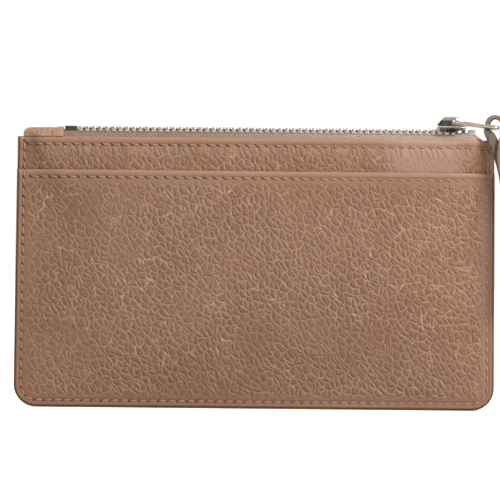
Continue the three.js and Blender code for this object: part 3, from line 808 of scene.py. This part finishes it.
# ---- Painted edges ----------------------------------------------------------------------------
# The cut edges of all the layers are sanded flush and sealed with thick olive-brown edge paint,
# laid on in one round bead along the sides and bottom, and another on the pocket's edges.
PAINT = 0.32

edge_paint = Finish("edge_paint")
flow = edge_paint.noise(edge_paint.place(), 1.2, 3)
edge_paint.set(
    Base_Color=edge_paint.mix(flow.ease(0.3, 0.7), srgb(152, 118, 92), srgb(178, 141, 113)),
    Roughness=flow.ease(0.2, 0.8, 0.34, 0.5), Normal=edge_paint.bump(flow, 0.12),
)


def paint_bead(name, node, low, high, top):
    """A bead of paint from depth low to high, round outside and flat against the leather."""
    span = np.linspace(-1, 1, 9)
    middle, half = (low + high) / 2, (high - low) / 2
    profile = [(PAINT * (1 - (1 - abs(s) ** 3) ** 0.5), middle + s * half) for s in span]
    profile += [(PAINT, high), (PAINT, low)]
    lines = [
        outline_path(inset, top, functools.partial(np.full_like, fill_value=y), 1)
        for inset, y in profile
    ]
    rings = np.stack(lines, axis=1)
    made = piece(name, rings.reshape(-1, 3), tube_faces(len(rings), len(profile)), edge_paint,
                 "edge_paint")
    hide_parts(node)


paint_bead("body_edge", "body_edge_paint", -WALL[1], WALL[1], BODY_HEIGHT)
paint_bead("pocket_edge", "pocket_edge_paint", -POCKET[1], -POCKET_LINING[0], POCKET_HEIGHT)


# ---- Linings and boards -----------------------------------------------------------------------
# Inside each wall: a thin cotton lining, and a board that keeps the wall flat. The pocket has its
# own lining. They are glued at their edges and caught in the side seams.
LINING = (0.04, 0.29)
CORE = (0.37, 0.77)
LINING_TOP = BODY_HEIGHT - 0.8
BOARD_TOP = 76.22

cotton = Finish("cotton_lining")
warp = cotton.along(cotton.place(), (14, 0, 0)).wave()
weft = cotton.along(cotton.place(), (0, 0, 14)).wave()
weave = (warp + weft).ease(-1.2, 1.2)
cotton.set(
    Base_Color=cotton.mix(weave, srgb(104, 90, 78), srgb(140, 124, 110)), Roughness=0.92,
    Normal=cotton.bump(weave, 0.06),
)
board = Finish("board")
fibre = board.noise(board.place(), 0.5, 4)
board.set(
    Base_Color=board.mix(fibre.ease(0.3, 0.7), srgb(122, 116, 106), srgb(150, 144, 132)),
    Roughness=0.95,
    Normal=board.bump(fibre, 0.05),
)
for side, face in (("front", FRONT), ("back", BACK)):
    lining = wall(f"{side}_cotton", f"{side}_lining", face, LINING, LINING_TOP, None, cotton,
                  (WIDTH * MM, LINING_TOP * MM), [f"{side}_stiffener"], spacing=2.5, edge=0.05)
    stiff = wall(f"{side}_board", f"{side}_stiffener", face, CORE, BOARD_TOP, None, board,
                 (WIDTH * MM, BOARD_TOP * MM), [f"{side}_panel"], spacing=2.5, edge=0.05)
pocket_cotton = wall("pocket_cotton", "pocket_lining", FRONT, POCKET_LINING, POCKET_HEIGHT, None,
                     cotton, POCKET_CUT, ["pocket_panel"], spacing=2.5, edge=0.05)


# ---- Zip tapes --------------------------------------------------------------------------------
# Two woven tapes in dusty pink, a twill with diagonal ribs. Each is sewn behind a wall's top edge
# and ends in a round cord that the teeth are clamped on.
TAPE_SEAM = 9
TAPE_HEIGHT = 2.35
TAPE_MARGIN = 4
TAPE_SLOPE = 2.7
TAPE_END_HEIGHT = 0.3
BEAD_OFFSET = 1.1
TAPE_THICKNESS = 0.4
TWILL_PITCH = 0.85

twill = Finish("zip_tape")
spot = twill.place()
slant = twill.along(spot, (2 * math.pi / TWILL_PITCH, 0, 1.15 * 2 * math.pi / TWILL_PITCH))
rib = (slant + twill.noise(spot, 0.8) * 1.2).wave()
pick = twill.along(spot, (4.2, 0, -15)).wave()
yarn = (rib * 0.75 + pick * 0.35).ease(-0.7, 0.9)
tape_tone = twill.noise(spot, 5).ease(0.35, 0.65)
# Painted light: the tape is paler towards its right end, nearer the lamp.
tape_painted_light = twill.along(spot, (1, 0, 0)).ease(-30, 50)
tape_pale = twill.mix(tape_tone, srgb(206, 176, 164), srgb(192, 162, 148))
tape_pale = twill.mix(tape_painted_light, tape_pale, srgb(240, 216, 204))
twill.set(
    Base_Color=twill.mix(yarn, srgb(124, 90, 78), tape_pale), Roughness=0.8,
    Normal=twill.bump(yarn, 0.14), Sheen_Weight=0.15, Sheen_Roughness=0.5,
)


def tape_mesh(face):
    half = half_width(BODY_HEIGHT)
    reach = 1 - (TAPE_MARGIN - CUT_INSET) / half
    slope = [reach - TAPE_SLOPE / half * share for share in (0.25, 0.5, 0.75)]
    us = np.unique(np.concatenate([np.linspace(-reach, reach, 150), slope]))
    above_seam = np.array([0.25, 0.5, 0.8, 1.1, 1.4, 1.6, 1.8, 2.0, 2.15, 2.28, 2.35])
    below_seam = np.linspace(BODY_HEIGHT - TAPE_SEAM, BODY_HEIGHT, 8)
    zs = np.concatenate([below_seam, BODY_HEIGHT + above_seam])
    u, z = np.meshgrid(us, zs)
    seamed = np.minimum(z, BODY_HEIGHT)
    wide = half_width(seamed)
    rise = (z - seamed) / TAPE_HEIGHT
    end = np.clip((reach - u) * wide / TAPE_SLOPE, TAPE_END_HEIGHT / TAPE_HEIGHT, 1)
    # The cord in the tape's edge swells both faces near the top.
    swell = 0.2 * np.clip(1 - ((rise - 0.84) / 0.16) ** 2, 0, 1) ** 0.5
    faces_at = []
    for side in (0, 1):
        seam_y = CORE[side] + bow(u * wide, seamed)
        bead_y = BEAD_OFFSET + side * TAPE_THICKNESS
        y = seam_y + (bead_y - seam_y) * rise + (2 * side - 1) * swell * (rise > 0.6)
        up = seamed + rise * TAPE_HEIGHT * end
        faces_at.append(np.stack([u * wide, face * y, up], axis=-1).reshape(-1, 3))
    return np.concatenate(faces_at), shell_faces(len(us), len(zs))


for side, face in (("front", FRONT), ("back", BACK)):
    tape = piece(f"{side}_zip_tape", *tape_mesh(face), twill, "zip_tape")
    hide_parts(f"{side}_tape")


# ---- Zip teeth and stops ----------------------------------------------------------------------
# Nickel-plated metal teeth, 57 in each row, clamped on the tapes' cords and locked together. A
# bar joins the rows at the closed end, and a small clamp ends each row beyond the slider.
TOOTH_PITCH = 2.1
TOOTH_COUNT = 57
TEETH_START = 19.3
TEETH_LEFT = -TOP_WIDTH / 2 + TEETH_START
TEETH_BOTTOM = BODY_HEIGHT + TAPE_HEIGHT + 0.1
TEETH_TOP = TEETH_BOTTOM + 0.95
TEETH_BACK = 2.2

nickel = Finish("zip_metal")
worn = nickel.noise(nickel.place(), 1.1, 3)
nickel.set(
    Base_Color=nickel.mix(worn.ease(0.3, 0.7), srgb(246, 242, 234), srgb(226, 221, 210)),
    Metallic=1.0,
    Roughness=worn.ease(0.2, 0.8, 0.3, 0.45), Normal=nickel.bump(worn, 0.04),
)

combing, given = tree_with_inputs("tooth_row", {
    "Count": "Int", "Pitch": "Float", "Turn": "Float", "Clamp Size": "Vector", "Clamp Place": "Vector",
    "Head Size": "Vector", "Head Place": "Vector", "Finish": "Material",
})


def rounded_block(net, size, place):
    raw = net.add("GeometryNodeMeshCube", None, {"Size": size})
    eased = net.add(
        "GeometryNodeSubdivisionSurface", None, {"Mesh": raw, "Level": 2, "Edge Crease": 0.72},
    )
    return net.add("GeometryNodeTransform", None, {"Geometry": eased, "Translation": place})


both = combing.add("GeometryNodeJoinGeometry")
for part in ("Clamp", "Head"):
    block = rounded_block(combing, given[f"{part} Size"], given[f"{part} Place"])
    combing.tree.links.new(block.socket, both.socket.node.inputs[0])
step = combing.add("ShaderNodeCombineXYZ", None, {"X": given["Pitch"]})
spots = combing.add(
    "GeometryNodeMeshLine", {"mode": "OFFSET"}, {"Count": given["Count"], "Offset": step},
)
first = combing.add("GeometryNodeInputPosition")
marked = combing.add(
    "GeometryNodeSampleIndex", {"data_type": "FLOAT_VECTOR"}, {0: given["Geometry"], "Value": first},
)
spots = combing.add("GeometryNodeSetPosition", None, {"Geometry": spots, "Offset": marked})
facing = combing.add("ShaderNodeCombineXYZ", None, {"Z": given["Turn"]})
teeth = combing.add(
    "GeometryNodeInstanceOnPoints", None, {"Points": spots, "Instance": both, "Rotation": facing},
)
tooth_tree = finish_tree(combing, teeth, given["Finish"])

for side, turn_by, shift in (("front", 0, 0.25), ("back", math.pi, 0.75)):
    row_start = (TEETH_LEFT + shift * TOOTH_PITCH, 0, TEETH_BOTTOM)
    row = grown(f"{side}_tooth_row", tooth_tree, [row_start], [], {
        "Count": TOOTH_COUNT, "Pitch": TOOTH_PITCH * MM, "Turn": turn_by,
        "Clamp Size": Vector((1.3, 0.95, 1.65)) * MM, "Clamp Place": Vector((0, -1.82, 0.12)) * MM,
        "Head Size": Vector((0.8, 2.1, 0.95)) * MM, "Head Place": Vector((0, -0.6, 0.48)) * MM,
        "Finish": nickel.material,
    })
    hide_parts(f"{side}_teeth")


def soft_box(low, high, radius):
    """A box with rounded edges: its points in millimetres and its faces."""
    low, high = np.array(low, float), np.array(high, float)
    shape = bmesh.new()
    bmesh.ops.create_cube(shape, size=1)
    for vertex in shape.verts:
        vertex.co = Vector((low + high) / 2 + np.array(vertex.co) * (high - low))
    bmesh.ops.bevel(shape, geom=shape.edges[:], offset=radius, segments=4, profile=0.5, affect="EDGES")
    points = np.array([vertex.co[:] for vertex in shape.verts])
    faces = [tuple(vertex.index for vertex in face.verts) for face in shape.faces]
    shape.free()
    return points, faces


def together(parts):
    """Several meshes as one: their points and faces."""
    points, faces, count = [], [], 0
    for some, these in parts:
        points.append(some)
        faces += [tuple(index + count for index in face) for face in these]
        count += len(some)
    return np.concatenate(points), faces


STOP_RIGHT = TEETH_LEFT - 0.5
STOP_LEFT = STOP_RIGHT - 3.8
TOP_STOP = (TEETH_LEFT + TOOTH_COUNT * TOOTH_PITCH + 3.2, 2.2)

gunmetal = Finish("stop_metal")
stain = gunmetal.noise(gunmetal.place(), 1.6, 3)
gunmetal.set(
    Base_Color=gunmetal.mix(stain.ease(0.35, 0.65), srgb(120, 112, 98), srgb(84, 78, 66)),
    Metallic=1.0,
    Roughness=stain.ease(0.2, 0.8, 0.3, 0.5), Normal=gunmetal.bump(stain, 0.06),
)
jaw = 0.5
stop = piece("closed_end_stop", *together([
    soft_box((STOP_LEFT, -TEETH_BACK, TEETH_BOTTOM - jaw), (STOP_RIGHT, -1.55, TEETH_TOP), 0.22),
    soft_box((STOP_LEFT, 1.55, TEETH_BOTTOM - jaw), (STOP_RIGHT, TEETH_BACK, TEETH_TOP), 0.22),
    soft_box((STOP_LEFT + 0.05, -2.1, TEETH_BOTTOM), (STOP_RIGHT - 0.05, 2.1, TEETH_TOP), 0.3),
]), gunmetal, "zip_metal")
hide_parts("bottom_stop")
for side, face in (("front", FRONT), ("back", BACK)):
    ys = sorted((face * 1.7, face * TEETH_BACK)), sorted((face * 1.15, face * 2.15))
    left, right = TOP_STOP[0], TOP_STOP[0] + TOP_STOP[1]
    clamp = piece(f"{side}_end_clamp", *together([
        soft_box((left, ys[0][0], TEETH_BOTTOM - 0.9), (right, ys[0][1], TEETH_TOP - 0.1), 0.2),
        soft_box((left + 0.06, ys[1][0], TEETH_BOTTOM), (right - 0.06, ys[1][1], TEETH_TOP), 0.25),
    ]), nickel, "zip_metal")
    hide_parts(f"{side}_top_stop")


# ---- Tab over the zip's closed end --------------------------------------------------------------
# A small piece of thinner leather, folded over both tapes with its right edge turned, and sewn
# through near that edge. It hides the tapes' ends.
TAB_LEFT = -TOP_WIDTH / 2 + 1.9
TAB_LENGTH = 12.6
TAB_WALL = 0.6
TAB_GAP = 0.3
TAB_STITCH_INSET = 3
TAB_CORNER = 2.4
TAB_STITCH_TOP = (-2.62, 87.2)
TAB_STITCH_FOOT = (-3.85, 85.75)


def tab_rings():
    """Sections across the tab from left to right, each outer line then inner line."""
    stations = np.concatenate([TAB_CORNER * (1 - np.cos(np.linspace(0, math.pi / 2, 8))),
                               np.linspace(TAB_CORNER, TAB_LENGTH, 18)[1:-1],
                               TAB_LENGTH - np.array([0.5, 0.3, 0.15, 0.05, 0])])
    low, high = BODY_HEIGHT + 0.08, BODY_HEIGHT + TAPE_HEIGHT + 0.1
    sweep = np.linspace(0, 1, 13)
    rings, seams = [], []
    for run in stations:
        x = TAB_LEFT + run
        corner = math.sqrt(max(0, 1 - (1 - min(run / TAB_CORNER, 1)) ** 2)) * 0.62 + 0.38
        turned = TAB_LENGTH - run
        puff = 0.16 * math.exp(-(((turned - 1.1) / 0.7) ** 2))
        puff -= 0.14 * math.exp(-(((turned - 3) / 0.5) ** 2))
        lost = 0.3 * (1 - math.sqrt(max(0, 1 - max(0, 1 - turned / 0.3) ** 2)))
        for line, grow in ((0, TAB_WALL + puff - lost), (1, lost * 0.6)):
            foot = CORE[1] + float(bow(x, BODY_HEIGHT)) + TAB_GAP + grow
            shoulder = BEAD_OFFSET + TAPE_THICKNESS + TAB_GAP + grow
            crest = high + 0.1 + grow - 0.25 * (1 - run / TAB_LENGTH)
            # Straight up from the foot to the shoulder, then round over the crest.
            ys = (foot, shoulder + 0.1, shoulder * 0.72, 0)
            zs = (low, high - 0.7, high + 0.05 + grow * 0.6, crest)
            at = np.array([0, 0.42, 0.72, 1])
            half_y = np.interp(sweep, at, ys)
            half_z = np.interp(sweep, at, zs)
            half_y[1:-1] = (half_y[:-2] + 2 * half_y[1:-1] + half_y[2:]) / 4
            half_z[1:-1] = (half_z[:-2] + 2 * half_z[1:-1] + half_z[2:]) / 4
            half_z = low + (half_z - low) * corner
            y = np.concatenate([-half_y, half_y[-2::-1]])
            z = np.concatenate([half_z, half_z[-2::-1]])
            order = slice(None) if line == 0 else slice(None, None, -1)
            rings.append(np.stack([np.full(len(y), x), y[order], z[order]], axis=1))
            seams.append(np.full(len(y), min(run, turned - 1.5) + 1.5))
    count = len(rings[0]) * 2
    return np.concatenate(rings), len(stations), count, np.concatenate(seams)


tab_points, tab_count, tab_around, tab_seam = tab_rings()
tab_leather = leather_finish("tab_leather", 1.9, 1.3, 0.5, 7.0, bleach=0.3)
tab = piece("zip_tab", tab_points, tube_faces(tab_count, tab_around), tab_leather, "leather",
            marks={"from_seam": tab_seam})
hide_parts("zip_end_tab")
tab_x = TAB_LEFT + TAB_LENGTH - TAB_STITCH_INSET
tab_thread = thread_bar("tab_thread", (tab_x, *TAB_STITCH_TOP), (tab_x - 0.25, *TAB_STITCH_FOOT), 0.12,
                        THREAD_RADIUS, thread, "pouch")
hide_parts("tab_stitch")


# ---- Slider -------------------------------------------------------------------------------------
# A nickel-plated zinc casting: a plate over the teeth with a skirt down each side, a tongue under
# them, the post between, and a domed bridge on top that holds the ring.
SLIDER = (56.9, 66.0)
SKIRT_BOTTOM = 87.65
PLATE_BOTTOM = 88.95
PLATE_TOP = 89.7

chrome = Finish("slider_chrome")
cloud = chrome.noise(chrome.place(), 1.4, 3)
# Painted shade: the skirts' cut-in faces, and a little the blocks under the bridge, are coloured dark
# brown.
sunk = chrome.attribute("painted_recess_shade")
plated = chrome.mix(cloud.ease(0.35, 0.65), srgb(232, 227, 216), srgb(205, 198, 184))
chrome.set(
    Base_Color=chrome.mix(sunk, plated, srgb(52, 42, 34)),
    Metallic=1.0, Roughness=sunk.ease(0, 1, 0.12, 0.5),
    Normal=chrome.bump(cloud, 0.04),
)


def slider_shell():
    """The plate and its skirts as sections along the slider. Marks where the skirt is cut in, which is
    painted with shade.
    """
    run = np.unique(np.concatenate([
        np.linspace(0, 1, 40), [0.005, 0.015, 0.03, 0.05, 0.95, 0.97, 0.985, 0.995],
        0.33 + np.array([-0.006, 0.006]), 0.64 + np.array([-0.006, 0.006]),
    ]))
    points, marks = [], []
    for share in run:
        x = SLIDER[0] + share * (SLIDER[1] - SLIDER[0])
        nose = math.sqrt(max(0, 1 - max(0, 1 - share / 0.16) ** 2))
        tail = math.sqrt(max(0, 1 - max(0, 1 - (1 - share) / 0.08) ** 2))
        w = 2.9 + 1.0 * min(nose, 0.55 + 0.45 * tail) - 0.25 * float(smoothstep(share, 0.75, 1))
        cut = float(0.336 < share < 0.634)
        ridge = float(abs(share - 0.42) < 0.02 or abs(share - 0.56) < 0.02)
        dip = 0.32 * cut * (1 - ridge)
        bottom = SKIRT_BOTTOM + 0.75 * float(smoothstep(share, 0.66, 0.8))
        top = PLATE_TOP + 0.12 * float(smoothstep(share, 0.62, 0.75))
        half = [
            (w - 0.62, PLATE_BOTTOM, 0), (w - 0.62, bottom, 0),
            (w - 0.12 - dip, bottom, cut), (w - dip, bottom + 0.14, cut),
            (w - dip, PLATE_BOTTOM - 0.05, cut), (w, PLATE_BOTTOM + 0.08, 0),
            (w + 0.02, PLATE_BOTTOM + 0.3, 0), (w - 0.1, PLATE_TOP - 0.2, 0),
            (w - 0.35, top, 0), (w - 0.9, top + 0.1, 0), (1.2, top + 0.16, 0),
        ]
        for y, z, mark in half + [(-y, z, mark) for y, z, mark in half[::-1]]:
            points.append((x, y, z))
            marks.append(mark * (1 - ridge))
    return np.array(points), tube_faces(len(run), 22), marks


shell_points, shell_faces, shell_shade_marks = slider_shell()
core = together([
    soft_box((SLIDER[0] + 0.1, -1.7, 85.4), (SLIDER[1] - 0.05, 1.7, 86.24), 0.25),
    soft_box((SLIDER[1] - 1.2, -0.8, 85.8), (SLIDER[1], 0.8, 89.4), 0.2),
])
slider_points, slider_faces = together([(shell_points, shell_faces), core])
slider = piece("zip_slider", slider_points, slider_faces, chrome, "slider_metal", body="slider", crisp=35,
               marks={"painted_recess_shade": shell_shade_marks + [0] * len(core[0])})
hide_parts("slider_body")

# The bridge: a domed crown that leans in at its left foot, with a hollow under its right half.
CROWN = [
    (0.15, 89.82), (0.35, 90.6), (0.75, 91.4), (1.3, 92.1), (2.0, 92.55), (3.0, 92.74), (4.6, 92.8),
    (6.2, 92.74), (7.4, 92.5), (8.3, 92.0), (8.85, 91.4), (9.05, 91.0), (8.7, 90.95), (7.6, 91.35),
    (6.6, 91.45), (5.8, 91.2), (5.35, 90.6), (5.0, 90.05), (4.6, 89.82),
]
CROWN_HALF = 1.75
CROWN_LOOPS = 13


def crown_mesh():
    """The crown's side outline, filled across with a width that swells and rounds at its edges."""
    outline = np.array(CROWN) + (SLIDER[0], 0)
    loops, sides = [], np.linspace(-1, 1, CROWN_LOOPS)
    middle = np.array([SLIDER[0] + 3.6, 90.9])
    for side in sides:
        inward = 0.42 * (1 - math.sqrt(max(0, 1 - abs(side) ** 4)))
        pulled = outline + (middle - outline) * inward * np.array([0.12, 0.5])
        waist = 1 - 0.22 * smoothstep(outline[:, 0] - SLIDER[0], 4.9, 8.9)
        loops.append(np.stack([pulled[:, 0], side * CROWN_HALF * waist, pulled[:, 1]], axis=1))
    return np.concatenate(loops), tube_faces(len(sides), len(outline))


crown_parts = together([
    crown_mesh(),
    soft_box((SLIDER[0] + 4.4, -0.75, 89.8), (SLIDER[1] - 0.1, 0.75, 90.5), 0.2),
    soft_box((SLIDER[0] + 5.8, -1.2, 89.8), (SLIDER[1] - 0.8, 1.2, 91.3), 0.25),
])
crown_size = len(CROWN) * CROWN_LOOPS
# The blocks under the bridge get a little painted shade.
painted_recess_shade = [0] * crown_size + [0.2] * (len(crown_parts[0]) - crown_size)
crown = piece("slider_crown", *crown_parts, chrome, "slider_metal", body="slider", crisp=50,
              marks={"painted_recess_shade": painted_recess_shade})
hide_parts("slider_bridge")


# ---- Ring ---------------------------------------------------------------------------------------
# A long ring of polished nickel-plated wire, bent round and brazed shut. Its near bar turns in the
# bridge, and its thicker far bar carries the leather pull.
RAIL_RADIUS = 0.55
END_RADIUS = 0.7
RING_HALF = 3.9
RING_BEND = 1.1

polished = Finish("ring_nickel")
haze = polished.noise(polished.place(), 2.5, 2)
polished.set(
    Base_Color=polished.mix(haze.ease(0.3, 0.7), srgb(236, 230, 218), srgb(210, 202, 188)),
    Metallic=1.0,
    Roughness=haze.ease(0.2, 0.8, 0.1, 0.2), Normal=polished.bump(haze, 0.08),
)


def ring_mesh():
    """A round wire swept along a rectangle with bent corners, in the ring's own tilt."""
    path = []
    corners = ((0, -1), (1, -1), (1, 1), (0, 1))
    for index, (far, side) in enumerate(corners):
        cx = RING_BEND if far == 0 else RING_REACH - RING_BEND
        cy = side * (RING_HALF - RING_BEND)
        start = (math.pi, -math.pi / 2, 0, math.pi / 2)[index]
        for angle in start + np.linspace(0, math.pi / 2, 9):
            path.append((cx + RING_BEND * math.cos(angle), cy + RING_BEND * math.sin(angle)))
        if index == 0:
            path += [(RING_REACH * share, side * RING_HALF) for share in (0.3, 0.5, 0.7)]
        elif index == 1:
            path += [(path[-1][0], cy * share) for share in (0.5, 0, -0.5)]
        elif index == 2:
            path += [(RING_REACH * share, side * RING_HALF) for share in (0.7, 0.5, 0.3)]
    path = np.array(path)
    ahead = np.roll(path, -1, axis=0) - np.roll(path, 1, axis=0)
    ahead /= np.linalg.norm(ahead, axis=1)[:, None]
    thicker = smoothstep(path[:, 0], RING_REACH - 2.2, RING_REACH - 0.8)
    radius = RAIL_RADIUS + (END_RADIUS - RAIL_RADIUS) * thicker
    angles = np.arange(12) * math.pi / 6
    side = np.stack([ahead[:, 1], -ahead[:, 0]], axis=1)
    flat = path[:, None] + side[:, None] * (radius[:, None] * np.cos(angles))[..., None]
    up = radius[:, None] * np.sin(angles)[None]
    x = PIVOT[0] + flat[..., 0] * math.cos(RING_TILT) + up * math.sin(RING_TILT)
    z = PIVOT[2] - flat[..., 0] * math.sin(RING_TILT) + up * math.cos(RING_TILT)
    points = np.stack([x, flat[..., 1], z], axis=-1).reshape(-1, 3)
    return points, tube_faces(len(path), 12, closed=True)


ring = piece("pull_ring", *ring_mesh(), polished, "slider_metal", body="puller", crisp=80)
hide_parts("puller_ring")
